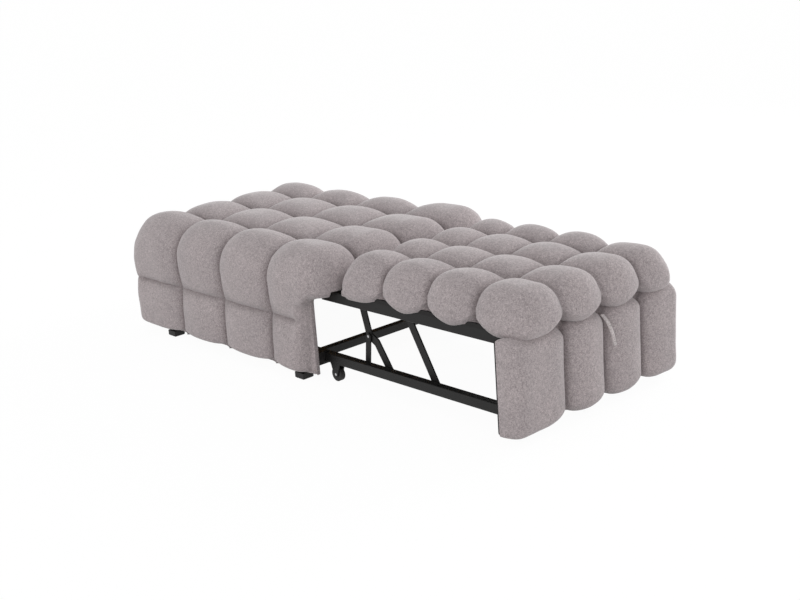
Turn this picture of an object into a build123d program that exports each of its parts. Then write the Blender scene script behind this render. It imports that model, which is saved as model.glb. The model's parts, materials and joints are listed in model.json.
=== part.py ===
"""Convertible single bed: a tufted ottoman shell with a bed carriage that pulls out of one end.

All lengths are in millimetres. X runs along the bed, towards the end that pulls out, Y across it and Z up.
The origin is on the floor, under the middle of the pulled-out bed.
The near side of the bed, at negative Y, is called left and the far side right.
"""

import os
from math import atan2, copysign, degrees, hypot, sqrt

from build123d import *

os.makedirs("parts", exist_ok=True)

# Overall sizes
total_length = 1830
ottoman_length = 1010
ottoman_width = 760
seat_height = 420

# The ends of the bed and of the ottoman along X
back_x = -total_length / 2
front_x = total_length / 2
wall_end_x = back_x + ottoman_length
side_y = ottoman_width / 2

# Tufted cover of the ottoman
tuft_columns = 4
tuft_rows = 4
column_shares = (0.317, 0.561, 0.811)
top_seam_depth = 40
wall_seam_depth = 28
top_edge_radius = 125
wall_corner_radius = 90
mouth_edge_radius = 115
mouth_corner_radius = 60
mouth_seam_depth = 30
nose_undercut = 8
waist_share = 0.46
hem_rise = 18
wall_end_radius = 24
wall_padding = 44
wall_end_padding = 12

# Frame and boards of the ottoman
ground_gap = 20
board_thickness = 16
mouth_drop = 128
nose_wrap = 8
nose_fill = 40
deck_thickness = 18
post_size = 30
post_chamfer = 3
foot_width = 40
foot_chamfer = 3
foot_inset_back = 218
foot_inset_mouth = 80

board_outer_y = side_y - wall_padding
board_inner_y = board_outer_y - board_thickness
board_bottom = ground_gap + hem_rise
board_front_x = wall_end_x - wall_end_padding
end_board_x = back_x + wall_padding
cavity_x = end_board_x + board_thickness
mouth_height = seat_height - mouth_drop
waist_height = waist_share * seat_height
deck_underside = mouth_height + nose_wrap
deck_top = deck_underside + deck_thickness

# Carriage rails and tubes
rail_side_gap = 26
rail_width = 25
rail_height = 28
rail_bottom = 56
tube_wall = 2
rail_inset = 160
rail_stop_thickness = 5
rail_stop_rise = 12
end_plate_thickness = 4
end_plate_size = 50
cross_tube_size = 25
inner_cross_inset = 50
outer_cross_gap = 42
shoe_length = 20
shoe_lip = 3
shoe_base = 7
shoe_reach = 18
shoe_clearance = 0.6

rail_outer_y = board_inner_y - rail_side_gap
rail_inner_y = rail_outer_y - rail_width
rail_inner_x = wall_end_x - rail_inset
inner_cross_x = wall_end_x - inner_cross_inset
rail_middle_y = (rail_outer_y + rail_inner_y) / 2
rail_top = rail_bottom + rail_height
rail_middle_z = (rail_bottom + rail_top) / 2

# Front panel
board_sheet = 15
panel_padding = 65
panel_side_inset = 32
panel_mouth_gap = 4
panel_seam_share = 0.46
panel_seam_depth = 30
panel_edge_radius = 58
panel_top_swell = 8
panel_hem_swell = 16
panel_top_radius = 32
panel_bottom_radius = 45
panel_board_inset = 8
panel_board_foot = 4

panel_face_x = front_x - panel_padding
panel_back_x = panel_face_x - board_sheet
panel_bottom = ground_gap
panel_top = mouth_height - panel_mouth_gap
panel_half_width = side_y - panel_side_inset
rail_end_x = panel_back_x - end_plate_thickness
nose_x = wall_end_x + panel_padding + board_sheet

# Pull strap
strap_width = 30
strap_thickness = 3
strap_drop = 95
seat_gap = 0.3

# Rollers and their brackets
roller_radius = 22
roller_width = 15
axle_radius = 4
running_clearance = 0.05
side_clearance = 1
bracket_plate = 3
bracket_length = 40
inner_roller_reach = 30
front_roller_inset = 80

outer_cross_x = panel_back_x - outer_cross_gap
inner_roller_x = wall_end_x + inner_roller_reach
front_roller_y = rail_middle_y - front_roller_inset

# Lifting arms: lower pivots on the rails, upper pivots under the platform
front_pivot_share = 0.604
rear_pivot_share = 0.3425
arm_lean = 108
elbow_lean = 51
elbow_rise = 77
knee_lean = 81
knee_rise = 92
arm_width = 25
arm_thickness = 5
stay_width = 20
stay_thickness = 4
stay_length = 93
stay_lean = 12
pivot_radius = 5
knee_pin_radius = 4
head_radius = 8
head_thickness = 3
screw_head_radius = 4
layer_gap = 0.8
head_gap = 0.3

stay_outer_y = rail_inner_y - layer_gap
stay_inner_y = stay_outer_y - stay_thickness
arm_outer_y = stay_inner_y - layer_gap
arm_inner_y = arm_outer_y - arm_thickness
head_outer_y = arm_inner_y - head_gap
head_inner_y = head_outer_y - head_thickness

# Platform under the mattress
platform_mouth_inset = 3
platform_panel_gap = 13
platform_drop = 40
platform_rail_height = 32
platform_rail_width = 25
deck_board_thickness = 12
deck_board_overhang = 3
slat_width = 30
slat_height = 20
slat_first_share = 0.086
slat_pitch_share = 0.297
slat_count = 3

platform_inner_x = wall_end_x - platform_mouth_inset
platform_outer_x = panel_back_x - platform_panel_gap
platform_length = platform_outer_x - platform_inner_x
platform_bottom = mouth_height - platform_drop
platform_rail_top = platform_bottom + platform_rail_height
platform_deck_top = platform_rail_top + deck_board_thickness

# Mattress
mattress_gap = 15
mattress_overhang = 60
mattress_side_inset = 63
mattress_seam_depth = 36
mattress_side_seam_depth = 20
mattress_edge_radius = 60
mattress_inner_radius = 75
mattress_corner_radius = 60
mattress_tuck = 12
mattress_skirt = 16
mattress_skirt_tuck = 7
skirt_clearance = 1
mattress_lip_start = 7

mattress_half_width = side_y - mattress_side_inset
mattress_inner_x = nose_x + mattress_gap
deck_board_inner_x = mattress_inner_x + deck_board_overhang
mattress_outer_x = panel_back_x + mattress_overhang
mattress_skirt_bottom = platform_deck_top - mattress_skirt

# Places of the pivots along the bed and their heights
upper_pivot_drop = 19
lower_pivot_z = (rail_bottom + rail_top) / 2
upper_pivot_z = platform_rail_top - upper_pivot_drop
front_pivot_x = platform_inner_x + front_pivot_share * platform_length
rear_pivot_x = platform_inner_x + rear_pivot_share * platform_length
front_foot = (front_pivot_x, lower_pivot_z)
front_head = (front_pivot_x - arm_lean, upper_pivot_z)
rear_foot = (rear_pivot_x, lower_pivot_z)
rear_head = (rear_pivot_x - arm_lean, upper_pivot_z)
elbow = (rear_pivot_x - elbow_lean, lower_pivot_z + elbow_rise)
knee = (rear_pivot_x - knee_lean, lower_pivot_z + knee_rise)
stay_toe = (rear_pivot_x - knee_lean - stay_lean, lower_pivot_z + knee_rise - stay_length)

# Extra reach of a cutting solid past what it cuts
overrun = 50

# Directions along the bed and across it
along_x = (1, 0, 0)
along_y = (0, 1, 0)

# An outline that another one limits stands this much outside it, so their crests don't touch
outline_step = 1


def arcs_along(points, swell):
    """Arcs from point to point, each swelling to the left of the way along."""
    for start, end in zip(points, points[1:]):
        run = Vector(*end) - Vector(*start)
        outward = Vector(-run.Y, run.X).normalized() * swell
        ThreePointArc(start, (Vector(*start) + Vector(*end)) / 2 + outward, end)


def flank(crest, seam, tangent):
    """The side of a tuft from its crest to its seam, straight where the seam isn't drawn in."""
    if crest[0] == seam[0] or crest[1] == seam[1]:
        Line(crest, seam)
    else:
        TangentArc(crest, seam, tangent=tangent)


def corner_tuft(seam_a, corner, seam_b, radius):
    """A tuft that turns a corner: seam_a is beside it along the first axis, seam_b along the second."""
    to_a = copysign(1, seam_a[0] - corner[0])
    to_b = copysign(1, seam_b[1] - corner[1])
    crest_a = (corner[0] + to_a * radius, corner[1])
    crest_b = (corner[0], corner[1] + to_b * radius)
    flank(crest_a, seam_a, (to_a, 0))
    TangentArc(crest_a, crest_b, tangent=(-to_a, 0))
    flank(crest_b, seam_b, (0, to_b))


def rise(chord, swell, distance):
    """How far an arc over a chord stands above it, at a distance from the chord's end."""
    radius = ((chord / 2) ** 2 + swell**2) / (2 * swell)
    return swell - radius + sqrt(radius**2 - (chord / 2 - distance) ** 2)


def seams(start, end, count):
    """Places of the seams between count tufts that share the way from start to end."""
    return [start + (end - start) * index / count for index in range(1, count)]


def mirrored(piece):
    """The same piece on the other side of the bed."""
    with BuildPart() as twin:
        mirror(piece.part, about=Plane.XZ)
    return twin


def level_box(x_range, y_range, z_range, mode=Mode.ADD):
    """A box between two places on each axis, added to the part that is being built."""
    centre = ((x_range[0] + x_range[1]) / 2, (y_range[0] + y_range[1]) / 2, (z_range[0] + z_range[1]) / 2)
    with Locations(centre):
        Box(x_range[1] - x_range[0], y_range[1] - y_range[0], z_range[1] - z_range[0], mode=mode)


# Seam lines that the cover's three outlines share
column_seams = [back_x + share * ottoman_length for share in column_shares]
row_seams = seams(side_y, -side_y, tuft_rows)
seam_height = seat_height - top_seam_depth
wall_seam_x = back_x + wall_seam_depth
wall_seam_y = side_y - wall_seam_depth


def cover_across():
    """Outline of the ottoman across the bed, in Y and Z, just outside the other two."""
    crest_z = seat_height + outline_step
    seam_z = seam_height + outline_step
    hem = ground_gap - outline_step
    wall_y = wall_seam_y + outline_step
    with BuildSketch(Plane.YZ) as outline:
        with BuildLine():
            for side in (1, -1):
                corner_tuft(
                    (side * row_seams[0], seam_z),
                    (side * (side_y + outline_step), crest_z),
                    (side * wall_y, waist_height),
                    top_edge_radius,
                )
            arcs_along([(row, seam_z) for row in reversed(row_seams)], top_seam_depth)
            arcs_along([(wall_y, waist_height), (wall_y, hem)], wall_seam_depth)
            arcs_along([(-wall_y, hem), (-wall_y, waist_height)], wall_seam_depth)
            Line((wall_y, hem), (-wall_y, hem))
        make_face()
    return outline


def cover_along(nose):
    """Outline of the ottoman along the bed, in X and Z, with the cushion's nose or the wall's plain end."""
    hem = ground_gap + hem_rise
    wall_x = wall_seam_x - outline_step
    end_x = (nose_x if nose else wall_end_x) + outline_step
    under_nose = (end_x - nose_undercut, mouth_height) if nose else (end_x, hem)
    with BuildSketch(Plane.XZ) as outline:
        with BuildLine():
            corner_tuft(
                (column_seams[0], seam_height),
                (back_x - outline_step, seat_height),
                (wall_x, waist_height),
                top_edge_radius,
            )
            corner_tuft((column_seams[-1], seam_height), (end_x, seat_height), under_nose, mouth_edge_radius)
            arcs_along([(column, seam_height) for column in column_seams], top_seam_depth)
            arcs_along([(wall_x, hem), (wall_x, waist_height)], wall_seam_depth)
            lower_seams = [under_nose[0]] + list(reversed(column_seams)) + [wall_x]
            arcs_along([(column, hem) for column in lower_seams], hem_rise)
            if nose:
                Line(under_nose, (under_nose[0], hem))
        make_face()
    return outline


def cover_round(nose):
    """Outline of the ottoman in plan, with the cushion's tufted nose or the walls' plain ends."""
    with BuildSketch(Plane.XY) as outline:
        with BuildLine():
            for side in (1, -1):
                corner_tuft(
                    (column_seams[0], side * wall_seam_y),
                    (back_x, side * side_y),
                    (wall_seam_x, side * row_seams[0]),
                    wall_corner_radius,
                )
                if nose:
                    corner_tuft(
                        (column_seams[-1], side * wall_seam_y),
                        (nose_x, side * side_y),
                        (nose_x - mouth_seam_depth, side * row_seams[0]),
                        mouth_corner_radius,
                    )
                else:
                    corner_tuft(
                        (column_seams[-1], side * wall_seam_y),
                        (wall_end_x, side * side_y),
                        (wall_end_x, side * row_seams[0]),
                        wall_end_radius,
                    )
            arcs_along([(column, wall_seam_y) for column in column_seams], wall_seam_depth)
            arcs_along([(column, -wall_seam_y) for column in reversed(column_seams)], wall_seam_depth)
            arcs_along([(wall_seam_x, row) for row in reversed(row_seams)], wall_seam_depth)
            if nose:
                arcs_along([(nose_x - mouth_seam_depth, row) for row in row_seams], mouth_seam_depth)
            else:
                Line((wall_end_x, row_seams[0]), (wall_end_x, row_seams[-1]))
        make_face()
    return outline


def crossed_forms(along, across, plan, length, width, height):
    """Solid shared by three outlines: one seen from the side, one from the end and one from above."""
    extrude(along.sketch, amount=width, both=True)
    extrude(across.sketch, amount=length, both=True, mode=Mode.INTERSECT)
    extrude(plan.sketch, amount=height, mode=Mode.INTERSECT)


across_outline = cover_across()
reach_x = total_length
reach_y = ottoman_width
reach_z = seat_height + overrun

# Upholstery of the ottoman: the top cushion's nose reaches past the walls and wraps the deck board
deck_front_x = nose_x - nose_fill

with BuildPart() as top_cushion:
    crossed_forms(cover_along(True), across_outline, cover_round(True), reach_x, reach_y, reach_z)
    level_box((-reach_x, reach_x), (-reach_y, reach_y), (-overrun, mouth_height), mode=Mode.SUBTRACT)
    level_box((-reach_x, board_front_x), (-reach_y, reach_y), (-overrun, deck_top), mode=Mode.SUBTRACT)
    level_box(
        (-reach_x, deck_front_x),
        (-board_outer_y, board_outer_y),
        (deck_underside, deck_top),
        mode=Mode.SUBTRACT,
    )

with BuildPart() as wall_form:
    crossed_forms(cover_along(False), across_outline, cover_round(False), reach_x, reach_y, reach_z)
    level_box((-reach_x, reach_x), (-reach_y, reach_y), (deck_top, reach_z), mode=Mode.SUBTRACT)
    level_box((board_front_x, reach_x), (-reach_y, reach_y), (mouth_height, reach_z), mode=Mode.SUBTRACT)

with BuildPart() as left_side_pad:
    add(wall_form.part)
    level_box((-reach_x, board_front_x), (-board_outer_y, reach_y), (-overrun, reach_z), mode=Mode.SUBTRACT)
    level_box((-reach_x, reach_x), (-board_inner_y, reach_y), (-overrun, reach_z), mode=Mode.SUBTRACT)

right_side_pad = mirrored(left_side_pad)

with BuildPart() as end_pad:
    add(wall_form.part)
    level_box((-reach_x, end_board_x), (-board_outer_y, board_outer_y), (-overrun, reach_z), mode=Mode.INTERSECT)

# Boards, posts and feet of the ottoman
with BuildPart() as left_side_board:
    level_box((end_board_x, board_front_x), (-board_outer_y, -board_inner_y), (board_bottom, deck_underside))

right_side_board = mirrored(left_side_board)

with BuildPart() as end_board:
    level_box((end_board_x, cavity_x), (-board_inner_y, board_inner_y), (board_bottom, deck_underside))

with BuildPart() as top_deck:
    level_box((end_board_x, deck_front_x), (-board_outer_y, board_outer_y), (deck_underside, deck_top))

with BuildPart() as corner_posts:
    post_y = board_inner_y - post_size / 2
    post_height = deck_underside - board_bottom
    with Locations(
        (cavity_x + post_size / 2, -post_y, board_bottom + post_height / 2),
        (cavity_x + post_size / 2, post_y, board_bottom + post_height / 2),
    ):
        Box(post_size, post_size, post_height)
    chamfer(corner_posts.edges().filter_by(Axis.Z).group_by(Axis.X)[-1], post_chamfer)

foot_y = board_outer_y - board_thickness / 2
foot_places = [
    (x, side * foot_y)
    for x in (back_x + foot_inset_back, wall_end_x - foot_inset_mouth)
    for side in (-1, 1)
]
with BuildPart() as feet:
    with BuildSketch(Plane.XY):
        with Locations(*foot_places):
            Rectangle(foot_width, foot_width)
    extrude(amount=ground_gap)
    chamfer(feet.edges().group_by(Axis.Z)[0], foot_chamfer)
    with BuildSketch(Plane.XY.offset(ground_gap)):
        with Locations(*foot_places):
            Rectangle(foot_width, board_thickness)
    extrude(amount=board_bottom - ground_gap)

# Guide shoes: each holds the carriage's rail at the mouth of the ottoman
with BuildPart() as left_guide_shoe:
    shoe_inner_y = rail_outer_y - shoe_reach
    with BuildSketch(Plane.YZ.offset(board_front_x - shoe_length)):
        with BuildLine():
            Polyline(
                (-board_inner_y, rail_bottom - shoe_base),
                (-shoe_inner_y, rail_bottom - shoe_base),
                (-shoe_inner_y, rail_bottom - shoe_clearance),
                (-rail_outer_y - side_clearance, rail_bottom - shoe_clearance),
                (-rail_outer_y - side_clearance, rail_top + shoe_clearance),
                (-shoe_inner_y, rail_top + shoe_clearance),
                (-shoe_inner_y, rail_top + shoe_lip),
                (-board_inner_y, rail_top + shoe_lip),
                close=True,
            )
        make_face()
    extrude(amount=shoe_length)

right_guide_shoe = mirrored(left_guide_shoe)


def hollow_tube(origin, along, across, width, height, length):
    """A tube from its origin along one direction, with its width across another."""
    with BuildSketch(Plane(origin, x_dir=across, z_dir=along)) as section:
        Rectangle(width, height)
        chamfer(section.vertices(), tube_wall / 2)
        Rectangle(width - 2 * tube_wall, height - 2 * tube_wall, mode=Mode.SUBTRACT)
    extrude(section.sketch, amount=length)


# Carriage: rails, cross tubes and their end plates
with BuildPart() as left_rail:
    hollow_tube(
        (rail_inner_x, -rail_middle_y, rail_middle_z),
        along_x,
        along_y,
        rail_width,
        rail_height,
        rail_end_x - rail_inner_x,
    )
    level_box(
        (rail_inner_x, rail_inner_x + rail_stop_thickness),
        (-rail_outer_y, -rail_inner_y),
        (rail_bottom, rail_top + rail_stop_rise),
    )
    level_box(
        (rail_end_x, panel_back_x),
        (-rail_middle_y - end_plate_size / 2, -rail_middle_y + end_plate_size / 2),
        (rail_middle_z - end_plate_size / 2, rail_middle_z + end_plate_size / 2),
    )

right_rail = mirrored(left_rail)


def cross_tube(centre_x):
    """A tube from rail to rail, level with their tops."""
    middle_z = rail_top - cross_tube_size / 2
    with BuildPart() as tube:
        hollow_tube(
            (centre_x, -rail_inner_y, middle_z),
            along_y,
            along_x,
            cross_tube_size,
            cross_tube_size,
            2 * rail_inner_y,
        )
    return tube


inner_cross_tube = cross_tube(inner_cross_x)
outer_cross_tube = cross_tube(outer_cross_x)

# Rollers with their brackets and axles: two under the rails and two under the outer cross tube
cross_tube_bottom = rail_top - cross_tube_size
roller_places = {
    "left_inner_roller": (inner_roller_x, -rail_middle_y, rail_bottom),
    "right_inner_roller": (inner_roller_x, rail_middle_y, rail_bottom),
    "left_front_roller": (outer_cross_x, -front_roller_y, cross_tube_bottom),
    "right_front_roller": (outer_cross_x, front_roller_y, cross_tube_bottom),
}
bracket_gap = roller_width + 2 * side_clearance
bracket_width = bracket_gap + 2 * bracket_plate


def bracket(x, y, top):
    """A bent fork: a plate under the frame with a cheek on each side of the roller."""
    level_box(
        (x - bracket_length / 2, x + bracket_length / 2),
        (y - bracket_width / 2, y + bracket_width / 2),
        (top - bracket_plate, top),
    )
    for side in (-1, 1):
        cheek_y = y + side * (bracket_gap + bracket_plate) / 2
        with BuildSketch(Plane.XZ.offset(-cheek_y - bracket_plate / 2)) as cheek:
            with BuildLine():
                Polyline(
                    (x - bracket_length / 2, top),
                    (x + bracket_length / 2, top),
                    (x + 2 * axle_radius, roller_radius - axle_radius),
                    (x + axle_radius, roller_radius - 2 * axle_radius),
                    (x - axle_radius, roller_radius - 2 * axle_radius),
                    (x - 2 * axle_radius, roller_radius - axle_radius),
                    close=True,
                )
            make_face()
        extrude(cheek.sketch, amount=bracket_plate)
        with Locations(Plane.XZ * Location((x, roller_radius, -cheek_y))):
            Cylinder(axle_radius, 2 * bracket_plate, mode=Mode.SUBTRACT)


with BuildPart() as roller_brackets:
    for place in roller_places.values():
        bracket(*place)

with BuildPart() as roller_axles:
    for x, y, top in roller_places.values():
        with Locations(Plane.XZ * Location((x, roller_radius, -y))):
            Cylinder(axle_radius, bracket_width)


def roller(x, y):
    """A wheel with a running fit on its axle."""
    with BuildPart() as wheel:
        with Locations(Plane.XZ * Location((x, roller_radius, -y))):
            Cylinder(roller_radius, roller_width)
            Cylinder(axle_radius + running_clearance, roller_width, mode=Mode.SUBTRACT)
    return wheel


rollers = {name: roller(x, y) for name, (x, y, top) in roller_places.items()}

# Front panel: board, padding with upright channels and the screws that hold it to the rails
with BuildPart() as front_panel_board:
    with BuildSketch(Plane.YZ.offset(panel_back_x)):
        board_height = panel_top - panel_top_swell - panel_bottom - panel_board_foot
        with Locations((0, panel_bottom + panel_board_foot + board_height / 2)):
            RectangleRounded(2 * (panel_half_width - panel_board_inset), board_height, panel_board_inset)
    extrude(amount=board_sheet)

panel_seams = [side * panel_seam_share * panel_half_width for side in (1, 0, -1)]
panel_seam_x = front_x - panel_seam_depth

with BuildPart() as front_panel_pad:
    panel_low = panel_bottom + panel_hem_swell
    panel_high = panel_top - panel_top_swell
    with BuildSketch(Plane.XZ) as panel_along:
        with BuildLine():
            edge_x = front_x + outline_step
            low_z = panel_bottom - outline_step
            high_z = panel_top + outline_step
            crest_low = (edge_x, low_z + panel_bottom_radius)
            crest_high = (edge_x, high_z - panel_top_radius)
            foot_point = (edge_x - panel_bottom_radius, low_z)
            head_point = (edge_x - panel_top_radius, high_z)
            Line(foot_point, (panel_face_x, low_z))
            Line((panel_face_x, low_z), (panel_face_x, high_z))
            Line((panel_face_x, high_z), head_point)
            TangentArc(head_point, crest_high, tangent=(1, 0))
            Line(crest_high, crest_low)
            TangentArc(foot_point, crest_low, tangent=(1, 0))
        make_face()
    with BuildSketch(Plane.YZ) as panel_across:
        with BuildLine():
            edge_y = panel_half_width + outline_step
            edge_points = [edge_y] + panel_seams + [-edge_y]
            arcs_along([(y, panel_high) for y in reversed(edge_points)], panel_top_swell)
            arcs_along([(y, panel_low) for y in edge_points], panel_hem_swell)
            for side in (1, -1):
                Line((side * edge_y, panel_low), (side * edge_y, panel_high))
        make_face()
    with BuildSketch(Plane.XY) as panel_plan:
        with BuildLine():
            for side in (1, -1):
                corner = (front_x, side * panel_half_width)
                crest_side = (front_x - panel_edge_radius, side * panel_half_width)
                crest_face = (front_x, side * (panel_half_width - panel_edge_radius))
                Line((panel_face_x, side * panel_half_width), crest_side)
                TangentArc(crest_side, crest_face, tangent=(1, 0))
                TangentArc(crest_face, (panel_seam_x, side * panel_seams[0]), tangent=(0, -side))
            arcs_along([(panel_seam_x, y) for y in panel_seams], panel_seam_depth)
            Line((panel_face_x, panel_half_width), (panel_face_x, -panel_half_width))
        make_face()
    crossed_forms(panel_along, panel_across, panel_plan, reach_x, reach_y, reach_z)

with BuildPart() as panel_screws:
    screw_offset = end_plate_size / 2 - head_radius
    screw_y = [rail_middle_y + step * screw_offset for step in (-1, 1)]
    screw_z = [rail_middle_z + step * (end_plate_size / 2 - pivot_radius) for step in (-1, 1)]
    screw_places = [(side * y, z) for side in (-1, 1) for y in screw_y for z in screw_z]
    with BuildSketch(Plane.YZ.offset(rail_end_x - head_thickness)):
        with Locations(*screw_places):
            RegularPolygon(screw_head_radius, 6)
    extrude(amount=head_thickness)

# Pull strap: a flat loop that hangs in the middle channel of the panel
with BuildPart() as pull_strap:
    channel_width = panel_seams[0] - panel_seams[1]
    face_rise = rise(channel_width, panel_seam_depth, strap_width / 2)
    top_rise = rise(channel_width, panel_top_swell, strap_width / 2)
    strap_back_x = panel_seam_x + face_rise + seat_gap
    strap_top = panel_top - panel_top_swell + top_rise + seat_gap + strap_thickness
    strap_low = strap_top - strap_drop
    with BuildSketch(Plane.YZ.offset(strap_back_x)):
        with BuildLine():
            Polyline(
                (-strap_width / 2, strap_low + strap_width / 2),
                (-strap_width / 2, strap_top),
                (strap_width / 2, strap_top),
                (strap_width / 2, strap_low + strap_width / 2),
            )
            ThreePointArc(
                (strap_width / 2, strap_low + strap_width / 2),
                (0, strap_low),
                (-strap_width / 2, strap_low + strap_width / 2),
            )
        make_face()
    extrude(amount=strap_thickness)
    level_box(
        (panel_face_x, strap_back_x + strap_thickness),
        (-strap_width / 2, strap_width / 2),
        (strap_top - strap_thickness, strap_top),
    )


def link_plate(points, width, outer_y, thickness, holes):
    """A flat link with round ends through the given points, with its holes, on the left side."""
    with BuildPart() as link:
        with BuildSketch(Plane.XZ.offset(outer_y)):
            for start, end in zip(points, points[1:]):
                run_x = end[0] - start[0]
                run_z = end[1] - start[1]
                middle = ((start[0] + end[0]) / 2, (start[1] + end[1]) / 2)
                with Locations(middle):
                    SlotCenterToCenter(hypot(run_x, run_z), width, rotation=degrees(atan2(run_z, run_x)))
            for place, radius in holes:
                with Locations(place):
                    Circle(radius, mode=Mode.SUBTRACT)
        extrude(amount=-thickness)
    return link


# Lifting arms: a straight one in front and a cranked one behind, with a stay hinged at its knee
arm_hole = pivot_radius + running_clearance
left_front_arm = link_plate(
    [front_foot, front_head],
    arm_width,
    arm_outer_y,
    arm_thickness,
    [(front_foot, arm_hole), (front_head, arm_hole)],
)
left_rear_arm = link_plate(
    [rear_foot, elbow, knee, rear_head],
    arm_width,
    arm_outer_y,
    arm_thickness,
    [(rear_foot, arm_hole), (rear_head, arm_hole)],
)
left_stay = link_plate(
    [knee, stay_toe],
    stay_width,
    stay_outer_y,
    stay_thickness,
    [(knee, knee_pin_radius + running_clearance)],
)
right_front_arm = mirrored(left_front_arm)
right_rear_arm = mirrored(left_rear_arm)
right_stay = mirrored(left_stay)


def pin(place, radius, from_y, to_y):
    """A round pin along Y between two distances from the middle of the bed, on the left side."""
    with BuildSketch(Plane.XZ.offset(from_y)) as section:
        with Locations(place):
            Circle(radius)
    extrude(section.sketch, amount=to_y - from_y)


def hexagon_head(place, from_y, to_y):
    """A hexagonal head or spacer along Y, round the same place as a pin."""
    with BuildSketch(Plane.XZ.offset(from_y)) as section:
        with Locations(place):
            RegularPolygon(head_radius, 6, major_radius=False)
    extrude(section.sketch, amount=to_y - from_y)


def pivot_pins(places):
    """Bolts that stand in from the rails, on both sides, with a spacer and a head on each side of the arm."""
    with BuildPart() as pins:
        for place in places:
            hexagon_head(place, arm_outer_y + head_gap, rail_inner_y)
            pin(place, pivot_radius, head_outer_y, arm_outer_y + head_gap)
            hexagon_head(place, head_inner_y, head_outer_y)
        mirror(about=Plane.XZ)
    return pins


lower_arm_pins = pivot_pins([front_foot, rear_foot])
upper_arm_pins = pivot_pins([front_head, rear_head])

with BuildPart() as left_stay_pin:
    pin(knee, knee_pin_radius, arm_outer_y, stay_outer_y + layer_gap / 2)

right_stay_pin = mirrored(left_stay_pin)

# Platform: side and end rails, slats and the deck board that carries the mattress
platform_middle_z = platform_bottom + platform_rail_height / 2

with BuildPart() as left_platform_rail:
    hollow_tube(
        (platform_inner_x, -rail_middle_y, platform_middle_z),
        along_x,
        along_y,
        platform_rail_width,
        platform_rail_height,
        platform_outer_x - platform_inner_x,
    )

right_platform_rail = mirrored(left_platform_rail)


def platform_end_rail(centre_x):
    """A tube across the platform, between its side rails."""
    with BuildPart() as tube:
        hollow_tube(
            (centre_x, -rail_inner_y, platform_middle_z),
            along_y,
            along_x,
            platform_rail_width,
            platform_rail_height,
            2 * rail_inner_y,
        )
    return tube


inner_platform_rail = platform_end_rail(platform_inner_x + platform_rail_width / 2)
outer_platform_rail = platform_end_rail(platform_outer_x - platform_rail_width / 2)

with BuildPart() as platform_slats:
    for index in range(slat_count):
        slat_x = platform_inner_x + (slat_first_share + index * slat_pitch_share) * platform_length
        level_box(
            (slat_x - slat_width / 2, slat_x + slat_width / 2),
            (-rail_inner_y, rail_inner_y),
            (platform_rail_top - slat_height, platform_rail_top),
        )

with BuildPart() as deck_board:
    level_box(
        (deck_board_inner_x, platform_outer_x + deck_board_overhang),
        (-rail_outer_y - deck_board_overhang, rail_outer_y + deck_board_overhang),
        (platform_rail_top, platform_deck_top),
    )
    fillet(deck_board.edges().filter_by(Axis.Z), 2 * deck_board_overhang)

# Mattress: four by four tufts, a rounded end over the panel and a skirt that hangs past the deck board
mattress_columns = seams(mattress_inner_x, mattress_outer_x, tuft_columns)
mattress_rows = seams(mattress_half_width, -mattress_half_width, tuft_rows)
mattress_seam_height = seat_height - mattress_seam_depth
mattress_side_y = mattress_half_width - mattress_side_seam_depth
lip_x = platform_outer_x + mattress_lip_start

with BuildPart() as mattress:
    with BuildSketch(Plane.XZ) as mattress_along:
        with BuildLine():
            inner_base = (mattress_inner_x + mattress_tuck, platform_deck_top)
            outer_base = (lip_x, platform_deck_top)
            corner_tuft(
                (mattress_columns[0], mattress_seam_height),
                (mattress_inner_x, seat_height),
                inner_base,
                mattress_inner_radius,
            )
            corner_tuft(
                (mattress_columns[-1], mattress_seam_height),
                (mattress_outer_x, seat_height),
                outer_base,
                mattress_edge_radius,
            )
            arcs_along([(column, mattress_seam_height) for column in mattress_columns], mattress_seam_depth)
            skirt_points = [outer_base[0]] + list(reversed(mattress_columns)) + [inner_base[0]]
            arcs_along([(x, platform_deck_top) for x in skirt_points], mattress_skirt)
        make_face()
    with BuildSketch(Plane.YZ) as mattress_across:
        with BuildLine():
            skirt_y = mattress_half_width - mattress_skirt_tuck
            skirt_z = mattress_skirt_bottom - outline_step
            seam_z = mattress_seam_height + outline_step
            for side in (1, -1):
                corner_tuft(
                    (side * mattress_rows[0], seam_z),
                    (side * (mattress_half_width + outline_step), seat_height + outline_step),
                    (side * skirt_y, skirt_z),
                    mattress_edge_radius,
                )
            arcs_along([(row, seam_z) for row in reversed(mattress_rows)], mattress_seam_depth)
            Line((skirt_y, skirt_z), (-skirt_y, skirt_z))
        make_face()
    with BuildSketch(Plane.XY) as mattress_plan:
        with BuildLine():
            inner_seam_x = mattress_inner_x + mattress_side_seam_depth
            outer_seam_x = mattress_outer_x - mattress_side_seam_depth
            for side in (1, -1):
                corner_tuft(
                    (mattress_columns[0], side * mattress_side_y),
                    (mattress_inner_x, side * mattress_half_width),
                    (inner_seam_x, side * mattress_rows[0]),
                    mattress_corner_radius,
                )
                corner_tuft(
                    (mattress_columns[-1], side * mattress_side_y),
                    (mattress_outer_x, side * mattress_half_width),
                    (outer_seam_x, side * mattress_rows[0]),
                    mattress_corner_radius,
                )
            arcs_along([(x, mattress_side_y) for x in mattress_columns], mattress_side_seam_depth)
            arcs_along([(x, -mattress_side_y) for x in reversed(mattress_columns)], mattress_side_seam_depth)
            arcs_along([(inner_seam_x, row) for row in reversed(mattress_rows)], mattress_side_seam_depth)
            arcs_along([(outer_seam_x, row) for row in mattress_rows], mattress_side_seam_depth)
        make_face()
    crossed_forms(mattress_along, mattress_across, mattress_plan, reach_x, reach_y, reach_z)
    deck_edge_y = rail_outer_y + deck_board_overhang + skirt_clearance
    level_box((0, reach_x), (-deck_edge_y, deck_edge_y), (0, platform_deck_top), mode=Mode.SUBTRACT)

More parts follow.
